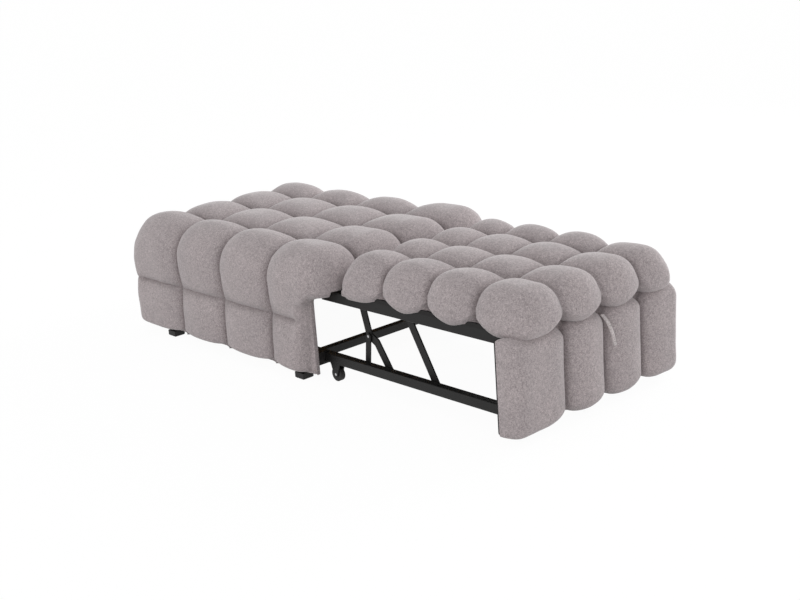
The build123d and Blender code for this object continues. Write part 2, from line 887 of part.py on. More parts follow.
pieces = {
    "top_cushion": top_cushion,
    "left_side_pad": left_side_pad,
    "right_side_pad": right_side_pad,
    "end_pad": end_pad,
    "left_side_board": left_side_board,
    "right_side_board": right_side_board,
    "end_board": end_board,
    "top_deck": top_deck,
    "corner_posts": corner_posts,
    "feet": feet,
    "left_guide_shoe": left_guide_shoe,
    "right_guide_shoe": right_guide_shoe,
    "left_rail": left_rail,
    "right_rail": right_rail,
    "inner_cross_tube": inner_cross_tube,
    "outer_cross_tube": outer_cross_tube,
    "roller_brackets": roller_brackets,
    "roller_axles": roller_axles,
    "front_panel_board": front_panel_board,
    "front_panel_pad": front_panel_pad,
    "panel_screws": panel_screws,
    "pull_strap": pull_strap,
    "lower_arm_pins": lower_arm_pins,
    "left_front_arm": left_front_arm,
    "right_front_arm": right_front_arm,
    "left_rear_arm": left_rear_arm,
    "right_rear_arm": right_rear_arm,
    "left_stay_pin": left_stay_pin,
    "right_stay_pin": right_stay_pin,
    "left_stay": left_stay,
    "right_stay": right_stay,
    "left_platform_rail": left_platform_rail,
    "right_platform_rail": right_platform_rail,
    "inner_platform_rail": inner_platform_rail,
    "outer_platform_rail": outer_platform_rail,
    "platform_slats": platform_slats,
    "deck_board": deck_board,
    "upper_arm_pins": upper_arm_pins,
    "mattress": mattress,
    **rollers,
}

for name, piece in pieces.items():
    piece.part.label = name
    export_step(piece.part, f"parts/{name}.step")
    print(name, len(piece.part.solids()), piece.part.bounding_box())
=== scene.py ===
"""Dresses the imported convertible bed: puffed fabric covers, metal and board finishes, light and camera.

All lengths are in metres, in the model's own frame: X runs along the bed, Y across it and Z up.
"""

import json
from math import cos, pi, radians, sin

import bpy
import numpy as np
from mathutils import Matrix, Vector, noise


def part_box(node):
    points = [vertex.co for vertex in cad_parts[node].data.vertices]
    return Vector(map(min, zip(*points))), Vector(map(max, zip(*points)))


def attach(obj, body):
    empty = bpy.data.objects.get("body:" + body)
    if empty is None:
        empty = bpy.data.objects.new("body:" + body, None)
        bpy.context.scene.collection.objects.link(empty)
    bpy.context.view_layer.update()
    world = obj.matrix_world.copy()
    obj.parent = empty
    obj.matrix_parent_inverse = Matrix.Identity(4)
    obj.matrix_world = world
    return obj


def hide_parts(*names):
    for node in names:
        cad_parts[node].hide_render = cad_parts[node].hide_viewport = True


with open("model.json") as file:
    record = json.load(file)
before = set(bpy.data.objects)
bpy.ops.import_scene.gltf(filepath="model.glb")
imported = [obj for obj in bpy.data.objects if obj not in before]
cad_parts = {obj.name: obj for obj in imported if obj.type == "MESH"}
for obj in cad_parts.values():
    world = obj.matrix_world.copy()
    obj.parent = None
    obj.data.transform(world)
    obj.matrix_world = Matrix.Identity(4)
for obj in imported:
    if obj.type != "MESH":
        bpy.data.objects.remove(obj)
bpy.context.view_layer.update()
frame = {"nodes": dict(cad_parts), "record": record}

# Steps of the covers' grids, the slack with which a place counts as on a face, and the least lengths
fine_step = 0.0095
line_pull = 0.7
on_face = 0.001
least_offset = 1e-9
least_normal = 1e-12

# How far each seed shifts the noise along X, Y and Z
seed_steps = (7.31, 3.17, 5.73)

# Sizes of the ottoman's cover
back_x = -0.915
wall_end_x = 0.095
nose_x = 0.175
side_y = 0.380
top_z = 0.420
hem_z = 0.020
waist_z = 0.192
nose_z = 0.292
ball_z = 0.264
ball_inner_y = 0.305
column_seams = (-0.595, -0.348, -0.096)
row_seams = (-0.190, 0.0, 0.190)

# Where the ottoman's cover meets its boards, and the hems that hide their edges
lining_back_x = -0.871
lining_front_x = 0.083
lining_y = 0.336
lining_z = 0.318
wall_inner_y = 0.320
inner_hem_z = 0.031
lip_hem_z = 0.023
lip_reach_x = 0.005
lip_reach_y = 0.007
lip_top_drop = 0.012
board_corner_x = 0.03
board_corner_y = 0.016
board_corner_z = 0.060

# Roundings of the ottoman's edges, and what they gain towards the back or lose towards the nose
edge_radius = 0.122
top_gain_at_back = 0.024
top_gain_lost_at_sides = 0.6
top_loss_at_nose = 0.034
side_loss_at_nose = 0.030
back_radius_low = 0.105
back_radius_gain = 0.120
back_gain_lost_at_sides = 0.35
hem_radius = 0.026
nose_radius_high = 0.088
nose_radius_low = 0.052
crown_rise_at_back = 0.005
wall_end_tuck = 0.010

# Ranges over which one form of the ottoman passes into another
nose_range_x = (-0.12, 0.06)
back_range_x = (-0.80, -0.60)
side_range_y = (0.20, 0.34)
back_range_z = (0.24, 0.40)
nose_step_z = 0.022
nose_step_x = (0.006, 0.028)
flat_end_x = 0.045
flat_end_z = 0.02

# Tufts of the ottoman: reach from seam to crest, height left at a seam, and depth of a seam
column_reach = 0.120
row_reach = 0.094
waist_reach_low = 0.10
waist_reach_high = 0.12
seam_floor = 0.12
waist_floor = 0.20
tuft_depth = 0.040
tuft_depth_on_top = 0.012
corner_spread = 2.4
corner_fullness = 0.66
least_fall = -0.1
end_edge_share = 0.62
hem_lift = 0.017
hem_height = 0.12
hem_end_margin = 0.01
hem_back_depth = 0.05

# Sizes of the mattress cover
mattress_x = (0.190, 0.921)
mattress_y = 0.3175
mattress_hem_z = 0.266
mattress_inner_hem_z = 0.281
mattress_bed_z = 0.2965
mattress_recess_x = 0.832
mattress_recess_y = 0.2985
mattress_columns = (0.370, 0.549, 0.728)
mattress_rows = (-0.148, 0.012, 0.172)

# Roundings and tufts of the mattress cover: a radius in a pair comes with what it gains towards the top
mattress_lean_z = (0.31, 0.41)
mattress_inner_radius = (0.048, 0.050)
mattress_side_radius = (0.048, 0.030)
mattress_outer_radius = 0.072
mattress_low_radius = 0.036
mattress_top_radius = 0.090
mattress_top_drop = 0.009
mattress_end_drop = 0.006
mattress_drop_x = (0.60, 0.86)
mattress_column_reach = 0.088
mattress_row_reach = 0.080
mattress_seam_floor = 0.10
mattress_depth = 0.034
mattress_depth_on_top = 0.012
mattress_skirt_z = 0.30
mattress_skirt_height = 0.03
mattress_skirt_fullness = 0.45
mattress_scallop = 0.027
mattress_scallop_power = 1.6
mattress_scallop_height = 0.09
mattress_inner_scallop = 0.015
mattress_tuck_fullness = 0.42
mattress_tuck_start = 0.0035

# Sizes of the front panel's cover
panel_x = (0.8405, 0.915)
panel_y = 0.348
panel_z = (0.014, 0.290)
panel_wrap_y = 0.3436
panel_wrap_z = (0.0205, 0.2835)
board_front_x = 0.8502
board_edge_y = 0.3403
board_edge_z = (0.0237, 0.2803)
panel_seams = (-0.132, 0.030, 0.193)
panel_reach = 0.080
panel_depth = 0.042
panel_face_radius = 0.056
panel_wrap_radius = 0.010
panel_side_gain = 0.026
panel_low_gain = 0.006
panel_top_gain = 0.012
panel_front_depth = 0.030
panel_skin_depth = 0.012
panel_board_gap = 0.002


def spaced(start, end, step, pull):
    """Places from start to end, closer together near both ends by the share pull."""
    count = max(1, round((end - start) / step))
    share = np.linspace(0.0, 1.0, count + 1)
    eased = 0.5 - 0.5 * np.cos(pi * share)
    return start + (end - start) * (pull * eased + (1 - pull) * share)


def lines(stops):
    """Grid lines that pass through all the stops."""
    runs = [spaced(a, b, fine_step, line_pull)[:-1] for a, b in zip(stops, stops[1:])]
    return np.concatenate(runs + [np.array([stops[-1]])])


def both_sides(distances):
    """The same distances on both sides of the middle, with the middle itself."""
    return tuple(-distance for distance in reversed(distances)) + (0.0,) + distances


def shell(x_stops, y_stops, z_stops, filled):
    """Points and outward quads of the boundary of the filled cells of a grid through the stops."""
    grid = (lines(x_stops), lines(y_stops), lines(z_stops))
    middles = [(line[1:] + line[:-1]) / 2 for line in grid]
    solid = filled(*np.meshgrid(*middles, indexing="ij"))
    solid = np.pad(solid, 1).astype(int)
    counts = [len(line) for line in grid]
    corner_index = np.arange(counts[0] * counts[1] * counts[2]).reshape(counts)
    quads = []
    for axis in range(3):
        change = np.diff(solid, axis=axis)
        trim = [slice(1, -1)] * 3
        trim[axis] = slice(None)
        change = change[tuple(trim)]
        step_second = np.zeros(3, int)
        step_second[(axis + 1) % 3] = 1
        step_third = np.zeros(3, int)
        step_third[(axis + 2) % 3] = 1
        for sign in (1, -1):
            cells = np.argwhere(change == sign)
            ring = [cells, cells + step_second, cells + step_second + step_third, cells + step_third]
            if sign == 1:
                ring.reverse()
            quads.append(np.stack([corner_index[tuple(corner.T)] for corner in ring], axis=1))
    quads = np.concatenate(quads)
    used, local = np.unique(quads, return_inverse=True)
    places = np.array(np.unravel_index(used, counts))
    points = np.stack([grid[axis][places[axis]] for axis in range(3)], axis=1)
    return points, local.reshape(-1, 4)


def smooth_step(low, high, value):
    """0 below low, 1 above high and a soft rise between them."""
    share = np.clip((value - low) / (high - low), 0.0, 1.0)
    return share * share * (3 - 2 * share)


def rounded(points, low_core, high_core, low_radius, high_radius):
    """Turns the edges of a box into ellipses: cores and radii are given for each axis, at each point."""
    core = np.clip(points, low_core, high_core)
    away = points - core
    radius = np.where(away < 0, low_radius, high_radius)
    share = away / radius
    largest = np.abs(share).max(axis=1)
    length = np.linalg.norm(share, axis=1)
    scale = np.where(length > least_offset, largest / np.maximum(length, least_offset), 1.0)
    return core + radius * share * scale[:, None]


def puff(distance, reach, floor=0.0, power=2.15, sharpness=0.52):
    """Rises from the floor at a seam, steeply at first, to 1 at the crest of a tuft."""
    share = np.clip(distance / reach, 0.0, 1.0)
    return floor + (1 - floor) * (1 - (1 - share) ** power) ** sharpness


def nearest(values, places):
    """Distance from each value to the nearest of the places."""
    return np.abs(values[:, None] - np.array(places)[None, :]).min(axis=1)


def closeness(values, places, reach):
    """1 at a place, falling evenly to 0 at the reach from it."""
    return 1 - np.clip(nearest(values, places) / reach, 0.0, 1.0)


def normals_of(points, quads):
    """Outward unit normals at the points of a quad mesh."""
    a, b, c, d = (points[quads[:, corner]] for corner in range(4))
    faces = np.cross(c - a, d - b)
    total = np.zeros_like(points)
    for corner in range(4):
        np.add.at(total, quads[:, corner], faces)
    return total / np.maximum(np.linalg.norm(total, axis=1), least_normal)[:, None]


def rough(points, scale, seed):
    """Smooth noise between about -1 and 1 at each point."""
    shift = Vector([seed * step for step in seed_steps])
    return np.array([noise.noise(Vector(point) * scale + shift) for point in points])


def tufted(points, raw, normal, crest, depth, skin, seed, scales, heights, stretch=(1.0, 1.0, 1.0)):
    """Sinks the seams, then adds slow swells on the crests, fine unevenness and puckers at the seams.

    The three scales and heights are those of the swells, the unevenness and the puckers.
    """
    points = points - normal * (depth * (1 - crest) * skin)[:, None]
    swell = rough(raw, scales[0], seed) * heights[0] * crest + rough(raw, scales[1], seed + 1) * heights[1]
    pucker = rough(raw * np.array(stretch), scales[2], seed + 2) * heights[2] * (1 - crest)
    return points + normal * ((swell + pucker) * skin)[:, None]


def mesh_piece(name, points, quads, body, material, seams=None):
    """A smooth mesh object that rides on a body, with its nearness to a seam at each point."""
    mesh = bpy.data.meshes.new(name)
    mesh.from_pydata(points.tolist(), [], quads.tolist())
    mesh.update()
    if seams is None:
        seams = np.zeros(len(points))
    # The fabric's shader paints shade into the seams by this nearness
    mesh.attributes.new("seam", "FLOAT", "POINT").data.foreach_set("value", seams.astype(np.float32))
    piece = bpy.data.objects.new(name, mesh)
    bpy.context.scene.collection.objects.link(piece)
    mesh.polygons.foreach_set("use_smooth", [True] * len(mesh.polygons))
    mesh.materials.append(material)
    fine = piece.modifiers.new("fine", "SUBSURF")
    fine.levels = 1
    fine.render_levels = 1
    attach(piece, body)
    return piece


# Materials
def node_material(name):
    """A new material with its node tree and its shader."""
    material = bpy.data.materials.new(name)
    material.use_nodes = True
    tree = material.node_tree
    return material, tree, tree.nodes["Principled BSDF"]


def object_coordinates(tree):
    """The places on an object's surface, which its textures follow."""
    return tree.nodes.new("ShaderNodeTexCoord").outputs["Object"]


def texture(tree, kind, coordinates, scale, **values):
    """A texture node fed by the coordinates."""
    node = tree.nodes.new(kind)
    tree.links.new(coordinates, node.inputs["Vector"])
    node.inputs["Scale"].default_value = scale
    for key, value in values.items():
        node.inputs[key].default_value = value
    return node


def grey(value):
    """A grey of the given value."""
    return (value, value, value)


def ramp(tree, source, stops):
    """A colour ramp through the given stops of place and colour."""
    node = tree.nodes.new("ShaderNodeValToRGB")
    tree.links.new(source, node.inputs["Fac"])
    elements = node.color_ramp.elements
    while len(elements) < len(stops):
        elements.new(0.5)
    for element, (place, colour) in zip(elements, stops):
        element.position = place
        element.color = (*colour, 1.0)
    return node.outputs["Color"]


def mixed(tree, first, second, factor, blend="MIX"):
    """Two colours mixed by a factor."""
    node = tree.nodes.new("ShaderNodeMix")
    node.data_type = "RGBA"
    node.blend_type = blend
    # The node's first socket is the factor, its seventh and eighth are colours, and so is its third output
    node.inputs[0].default_value = factor
    tree.links.new(first, node.inputs[6])
    tree.links.new(second, node.inputs[7])
    return node.outputs[2]


def bumped(tree, shader, layers):
    """Chains bump layers, each a height, a distance in metres and a strength, into the shader's normal."""
    normal = None
    for height, distance, strength in layers:
        bump = tree.nodes.new("ShaderNodeBump")
        bump.inputs["Distance"].default_value = distance
        bump.inputs["Strength"].default_value = strength
        tree.links.new(height, bump.inputs["Height"])
        if normal is not None:
            tree.links.new(normal, bump.inputs["Normal"])
        normal = bump.outputs["Normal"]
    tree.links.new(normal, shader.inputs["Normal"])


def fabric_material(name, base):
    """Soft chenille: heathered yarns, small loops and a light nap, with painted shade in the seams."""
    material, tree, shader = node_material(name)
    coordinates = object_coordinates(tree)
    yarns = texture(tree, "ShaderNodeTexNoise", coordinates, scale=330.0, Detail=3.0, Roughness=0.62)
    loops = texture(tree, "ShaderNodeTexVoronoi", coordinates, scale=300.0, Randomness=0.9)
    cloud = texture(tree, "ShaderNodeTexNoise", coordinates, scale=9.0, Detail=2.0, Roughness=0.5)
    fibres = texture(tree, "ShaderNodeTexNoise", coordinates, scale=1100.0, Detail=2.0, Roughness=0.6)
    flecks = texture(tree, "ShaderNodeTexNoise", coordinates, scale=135.0, Detail=2.0, Roughness=0.6)
    nearness = tree.nodes.new("ShaderNodeAttribute")
    nearness.attribute_name = "seam"
    dark = tuple(channel * 0.55 for channel in base)
    deep = tuple(channel * 0.80 for channel in base)
    light = tuple(min(1.0, channel * 1.45) for channel in base)
    heather = ramp(tree, yarns.outputs["Fac"], ((0.34, dark), (0.5, base), (0.66, light)))
    knots = ramp(tree, loops.outputs["Distance"], ((0.0, light), (0.45, base), (0.85, deep)))
    shade = ramp(tree, cloud.outputs["Fac"], ((0.3, grey(0.95)), (0.7, (1.04, 1.035, 1.03))))
    fleck = ramp(tree, flecks.outputs["Fac"], ((0.36, grey(0.88)), (0.64, grey(1.10))))
    # Painted shade: the colour darkens towards the seams, following the mesh's seam nearness
    painted_seam_shade = ramp(tree, nearness.outputs["Fac"], ((0.35, grey(1.0)), (0.95, (0.60, 0.585, 0.585))))
    colour = mixed(tree, heather, knots, factor=0.42)
    for layer in (shade, fleck, painted_seam_shade):
        colour = mixed(tree, colour, layer, factor=1.0, blend="MULTIPLY")
    tree.links.new(colour, shader.inputs["Base Color"])
    shader.inputs["Roughness"].default_value = 0.95
    shader.inputs["Specular IOR Level"].default_value = 0.15
    shader.inputs["Sheen Weight"].default_value = 0.45
    shader.inputs["Sheen Roughness"].default_value = 0.45
    bumped(tree, shader, (
        (yarns.outputs["Fac"], 0.0011, 0.55),
        (loops.outputs["Distance"], 0.0009, 0.45),
        (fibres.outputs["Fac"], 0.0004, 0.35),
    ))
    return material


cover_fabric = fabric_material("cover_fabric", (0.430, 0.378, 0.384))


# Ottoman cover: one tufted skin over the top, the walls, the closed end and the nose
def ottoman_filled(x, y, z):
    """True where the ottoman's padding is."""
    wide = np.abs(y)
    bay = (x > lining_back_x) & (x < lining_front_x) & (wide < lining_y) & (z < lining_z)
    throat = (x > lining_front_x) & (wide < wall_inner_y) & (z < nose_z)
    under_nose = (x > wall_end_x) & (z < np.where(wide > ball_inner_y, ball_z, nose_z))
    return ~bay & ~throat & ~under_nose


def ottoman_form(raw):
    """The cover before its tufts: a box with rounded edges, whose nose overhangs the mouth."""
    points = raw.copy()
    x, y, z = raw.T
    near_nose = smooth_step(*nose_range_x, x)
    near_back = 1 - smooth_step(*back_range_x, x)
    wide = smooth_step(*side_range_y, np.abs(y))
    in_nose = smooth_step(ball_z - nose_step_z, ball_z, z)
    past_wall = smooth_step(wall_end_x - nose_step_x[0], wall_end_x + nose_step_x[1], x)
    top_gain = top_gain_at_back * near_back * (1 - top_gain_lost_at_sides * wide)
    top_radius = edge_radius + top_gain - top_loss_at_nose * near_nose
    side_radius = edge_radius - side_loss_at_nose * near_nose
    back_gain = back_radius_gain * smooth_step(*back_range_z, z) * (1 - back_gain_lost_at_sides * wide)
    back_radius = back_radius_low + back_gain
    nose_radius = nose_radius_high * in_nose + nose_radius_low * (1 - in_nose)
    crown_z = top_z + crown_rise_at_back * near_back
    low_edge = hem_z + (ball_z - hem_z) * in_nose * past_wall
    end_x = wall_end_x - wall_end_tuck * np.clip(1 - z / ball_z, 0.0, 1.0)
    far_x = nose_x * in_nose + end_x * (1 - in_nose)
    cut_x = np.minimum(x, far_x + (x - wall_end_x) * in_nose)
    points[:, 0] = np.where(x > lining_front_x + on_face, cut_x, x)
    raised_z = lining_z + (z - lining_z) * (crown_z - lining_z) / (top_z - lining_z)
    points[:, 2] = np.where(z > lining_z, raised_z, z)
    low_core = np.stack([back_x + back_radius, -side_y + side_radius, low_edge + hem_radius], axis=1)
    high_core = np.stack([far_x - nose_radius, side_y - side_radius, crown_z - top_radius], axis=1)
    open_below = (1 - in_nose) + in_nose * past_wall > 0.5
    low_core[:, 2] = np.where(open_below, low_core[:, 2], -1.0)
    low_core[:, 2] = np.minimum(low_core[:, 2], high_core[:, 2] - on_face)
    low_radius = np.stack([back_radius, side_radius, np.full(len(raw), hem_radius)], axis=1)
    high_radius = np.stack([nose_radius, side_radius, top_radius], axis=1)
    return rounded(points, low_core, high_core, low_radius, high_radius)


def hung_low(points, z, region):
    """Keeps the hem of a region low enough to hide the end of the board behind it."""
    low_z = np.minimum(points[:, 2], np.maximum(z, lip_hem_z))
    points[:, 2] = np.where(region, low_z, points[:, 2])


def wrap_boards(points, raw, lined, on_lip):
    """Rolls the cover round the ends of the side boards and lays it along their inner faces."""
    x, y, z = raw.T
    wide = np.abs(y)
    inner_edge = np.clip((lining_y - wide) / (lining_y - wall_inner_y), 0.0, 1.0)
    lip_x = lining_front_x + lip_reach_x
    edge_x = lip_x + (points[:, 0] - lip_x) * np.sqrt(1 - inner_edge ** 2)
    points[:, 0] = np.where(on_lip, np.maximum(edge_x, lip_x), points[:, 0])
    hung_low(points, z, on_lip)
    lip = (x > lining_front_x - on_face) & (z < ball_z - lip_top_drop) & (wide < lining_y + on_face)
    points[lip, 1] = y[lip]
    points[lined] = raw[lined]
    points[lined & (z < hem_z + on_face), 2] = inner_hem_z


def ottoman_cover():
    """The ottoman's skin."""
    x_stops = tuple(sorted((back_x, *column_seams, lining_front_x, wall_end_x, nose_x, lining_back_x)))
    y_stops = both_sides((row_seams[2], ball_inner_y, wall_inner_y, lining_y, side_y))
    z_stops = (hem_z, waist_z, ball_z, nose_z, lining_z, top_z)
    raw, quads = shell(x_stops, y_stops, z_stops, ottoman_filled)
    x, y, z = raw.T
    wide = np.abs(y)
    lined = (wide < lining_y + on_face) & (z < lining_z + on_face)
    lined = lined & (x > lining_back_x - on_face) & (x < lining_front_x + on_face)
    on_lip = (x > lining_front_x + on_face) & (z < ball_z) & (wide < lining_y + lip_reach_y)
    points = ottoman_form(raw)
    wrap_boards(points, raw, lined, on_lip)

    g_x = puff(nearest(x, column_seams), column_reach, seam_floor)
    g_y = puff(nearest(y, row_seams), row_reach, seam_floor)
    waist_reach = np.where(z < waist_z, waist_reach_low, waist_reach_high)
    g_z = puff(np.abs(z - waist_z), waist_reach, waist_floor)
    crest = g_x * g_y * g_z
    normal = normals_of(points, quads)
    normal[:, 2] = np.where(z < waist_z, np.maximum(normal[:, 2], least_fall), normal[:, 2])
    corner = np.clip(corner_spread * np.abs(normal[:, 0] * normal[:, 1]), 0.0, 1.0)
    depth = tuft_depth * (1 - corner_fullness * corner)
    depth = depth + tuft_depth_on_top * np.clip(normal[:, 2], 0.0, 1.0)
    on_end = smooth_step(flat_end_x, wall_end_x, x) * (1 - smooth_step(ball_z, ball_z + flat_end_z, z))
    end_share = np.where(wide < side_y - 2 * on_face, 1.0, end_edge_share)
    skin = np.where(lined, 0.0, 1.0) * (1 - on_end * end_share)
    points = tufted(points, raw, normal, crest, depth, skin, seed=1, scales=(7.0, 24.0, 62.0),
                    heights=(0.0035, 0.0011, 0.0018), stretch=(1.0, 1.0, 0.8))

    hem = np.clip(1 - (z - hem_z) / hem_height, 0.0, 1.0) ** 2
    side_seams = column_seams + (back_x - hem_end_margin, wall_end_x + hem_end_margin)
    end_seams = row_seams + (-side_y - hem_end_margin, side_y + hem_end_margin)
    side_lift = hem_lift * (1 - puff(nearest(x, side_seams), column_reach))
    end_lift = hem_lift * (1 - puff(nearest(y, end_seams), row_reach))
    lift = hem * np.where(x < back_x + hem_back_depth, end_lift, side_lift)
    points[:, 2] += lift * np.where(lined | on_lip, 0.0, 1.0)
    corner_region = (x > lining_front_x - board_corner_x) & (wide < lining_y + board_corner_y)
    hung_low(points, z, corner_region & (z < board_corner_z) & ~lined)
    return points, quads, (1 - crest) * skin


points, quads, seams = ottoman_cover()
ottoman_piece = mesh_piece("ottoman_cover", points, quads, "ottoman", cover_fabric, seams)
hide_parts("top_cushion", "left_side_pad", "right_side_pad", "end_pad")


# Mattress cover
def mattress_filled(x, y, z):
    """True where the mattress's padding is."""
    recess = (x < mattress_recess_x) & (np.abs(y) < mattress_recess_y) & (z < mattress_bed_z)
    return ~recess


def mattress_form(raw):
    """The mattress before its tufts: a box with rounded edges, a little lower towards the panel."""
    points = raw.copy()
    x, y, z = raw.T
    one = np.ones(len(raw))
    lean = smooth_step(*mattress_lean_z, z)
    side_radius = mattress_side_radius[0] + mattress_side_radius[1] * lean
    inner_radius = mattress_inner_radius[0] + mattress_inner_radius[1] * lean
    low_radius = np.stack([inner_radius, side_radius, mattress_low_radius * one], axis=1)
    high_radius = np.stack([mattress_outer_radius * one, side_radius, mattress_top_radius * one], axis=1)
    top = top_z - mattress_top_drop - mattress_end_drop * smooth_step(*mattress_drop_x, x)
    above = np.maximum(z - mattress_bed_z, 0.0)
    raised = above * (top - mattress_bed_z) / (top_z - mattress_bed_z)
    points[:, 2] = np.minimum(z, mattress_bed_z) + raised
    low_corner = np.array([mattress_x[0], -mattress_y, mattress_hem_z])
    high_corner = np.stack([mattress_x[1] * one, mattress_y * one, top], axis=1)
    return rounded(points, low_corner + low_radius, high_corner - high_radius, low_radius, high_radius)


def mattress_cover():
    """The mattress's skin, whose tufts hang past the deck board in scallops."""
    x_stops = (mattress_x[0], *mattress_columns, mattress_recess_x, mattress_x[1])
    y_stops = both_sides((mattress_rows[2], mattress_recess_y, mattress_y))
    z_stops = (mattress_hem_z, mattress_bed_z, top_z)
    raw, quads = shell(x_stops, y_stops, z_stops, mattress_filled)
    x, y, z = raw.T
    inner = (x < mattress_recess_x + on_face) & (np.abs(y) < mattress_recess_y + on_face)
    inner = inner & (z < mattress_bed_z + on_face)
    points = mattress_form(raw)
    points[inner] = raw[inner]

    g_x = puff(nearest(x, mattress_columns), mattress_column_reach, mattress_seam_floor)
    g_y = puff(nearest(y, mattress_rows), mattress_row_reach, mattress_seam_floor)
    crest = g_x * g_y
    close_x = closeness(x, mattress_columns, mattress_column_reach)
    close_y = closeness(y, mattress_rows, mattress_row_reach)
    on_side = np.abs(y) > mattress_recess_y - on_face
    close = np.where(on_side, close_x, close_y)
    normal = normals_of(points, quads)
    depth = mattress_depth + mattress_depth_on_top * np.clip(normal[:, 2], 0.0, 1.0)
    low = np.clip((mattress_skirt_z - z) / mattress_skirt_height, 0.0, 1.0)
    depth = depth * (1 - mattress_skirt_fullness * low * (1 - close ** 2))
    skin = np.where(inner, 0.0, 1.0)
    points = tufted(points, raw, normal, crest, depth, skin, seed=4, scales=(8.0, 26.0, 66.0),
                    heights=(0.003, 0.001, 0.0016))

    hem = np.clip(1 - (z - mattress_hem_z) / mattress_scallop_height, 0.0, 1.0)
    points[:, 2] += hem * mattress_scallop * close ** mattress_scallop_power * skin
    inner_low = inner & (z < mattress_bed_z - on_face / 2)
    inner_rise = mattress_inner_scallop * close ** mattress_scallop_power
    inner_z = np.maximum(z, mattress_inner_hem_z + inner_rise)
    points[:, 2] = np.where(inner_low, inner_z, points[:, 2])
    side_depth = mattress_depth * (1 - g_x) * (1 - mattress_tuck_fullness * (1 - close_x ** 2))
    tuck = np.sign(y) * np.maximum(side_depth - mattress_tuck_start, 0.0)
    points[:, 1] = np.where(inner & on_side, y - tuck, points[:, 1])
    return points, quads, 1 - crest


points, quads, seams = mattress_cover()
mattress_piece = mesh_piece("mattress_cover", points, quads, "platform", cover_fabric, seams)
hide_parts("mattress")


# Front panel cover
def panel_filled(x, y, z):
    """True where the panel's padding is, round the board's edges too."""
    board = (x < board_front_x) & (np.abs(y) < board_edge_y)
    board = board & (z > board_edge_z[0]) & (z < board_edge_z[1])
    return ~board


def panel_form(raw):
    """The panel before its channels: full in front and narrower where it wraps the board's edges."""
    points = raw.copy()
    x, y, z = raw.T
    one = np.ones(len(raw))
    front = smooth_step(board_front_x - on_face, board_front_x + panel_front_depth, x)
    half_y = panel_wrap_y + (panel_y - panel_wrap_y) * front
    low_z = panel_wrap_z[0] + (panel_z[0] - panel_wrap_z[0]) * front
    high_z = panel_wrap_z[1] + (panel_z[1] - panel_wrap_z[1]) * front
    points[:, 1] = np.clip(y, -half_y, half_y)
    points[:, 2] = np.clip(z, low_z, high_z)
    corner = panel_wrap_radius + panel_side_gain * front
    low_radius = np.stack([one, corner, corner + panel_low_gain * front], axis=1)
    high_radius = np.stack([panel_face_radius * one, corner, corner + panel_top_gain * front], axis=1)
    low_core = np.stack([-one, corner - half_y, low_z + low_radius[:, 2]], axis=1)
    high_core = np.stack([panel_x[1] * one, half_y, high_z], axis=1) - high_radius
    return rounded(points, low_core, high_core, low_radius, high_radius)


def panel_cover():
    """The panel's skin: four upright channels that turn round its edges to the board."""
    x_stops = (panel_x[0], board_front_x, panel_x[1])
    y_stops = (-panel_y, -board_edge_y, *panel_seams, board_edge_y, panel_y)
    z_stops = (panel_z[0], board_edge_z[0], board_edge_z[1], panel_z[1])
    raw, quads = shell(x_stops, y_stops, z_stops, panel_filled)
    x, y, z = raw.T
    points = panel_form(raw)
    crest = puff(nearest(y, panel_seams), panel_reach)
    normal = normals_of(points, quads)
    skin = smooth_step(board_front_x - on_face, board_front_x + panel_skin_depth, x)
    points = tufted(points, raw, normal, crest, panel_depth, skin, seed=7, scales=(8.0, 26.0, 66.0),
                    heights=(0.003, 0.001, 0.0014))
    slack = on_face / 2
    held = (x < board_front_x + on_face) & (np.abs(y) < board_edge_y + slack)
    held = held & (z > board_edge_z[0] - slack) & (z < board_edge_z[1] + slack)
    points[held] = raw[held]
    least_x = np.where(x > board_front_x + slack, board_front_x + panel_board_gap, 0.0)
    points[:, 0] = np.maximum(points[:, 0], least_x)
    return points, quads, (1 - crest) * skin


points, quads, seams = panel_cover()
panel_piece = mesh_piece("panel_cover", points, quads, "carriage", cover_fabric, seams)
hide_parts("front_panel_pad")

# Pull strap, and its points: X from its node's front, Y, and Z from its node's top, middle and bottom
strap_width = 0.010
strap_thickness = 0.0024
strap_steps = 24
strap_across = Vector((0.50, 0.86, 0.10))
strap_top = (-0.004, 0.012, -0.016)
strap_bend = (0.019, 0.027, 0.004)
strap_foot = (0.013, 0.044, -0.014)


def strap_loop():
    """A ribbon folded in a loop: it hangs from under the mattress and leans across the channel."""
    low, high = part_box("pull_strap")
    top = Vector((high[0] + strap_top[0], strap_top[1], high[2] + strap_top[2]))
    bend = Vector((high[0] + strap_bend[0], strap_bend[1], (low[2] + high[2]) / 2 + strap_bend[2]))
    foot = Vector((high[0] + strap_foot[0], strap_foot[1], low[2] + strap_foot[2]))
    across = strap_across * strap_width / 2
    points = []
    for index in range(strap_steps + 1):
        turn = index / strap_steps
        place = top * (1 - turn) ** 2 + bend * 2 * turn * (1 - turn) + foot * turn ** 2
        points.append(place - across)
        points.append(place + across)
    quads = [(2 * row, 2 * row + 1, 2 * row + 3, 2 * row + 2) for row in range(strap_steps)]
    return np.array([tuple(point) for point in points]), np.array(quads)


strap_fabric = fabric_material("strap_fabric", (0.62, 0.565, 0.565))
points, quads = strap_loop()
strap = mesh_piece("pull_strap_loop", points, quads, "carriage", strap_fabric)
thick = strap.modifiers.new("thick", "SOLIDIFY")
thick.thickness = strap_thickness
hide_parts("pull_strap")


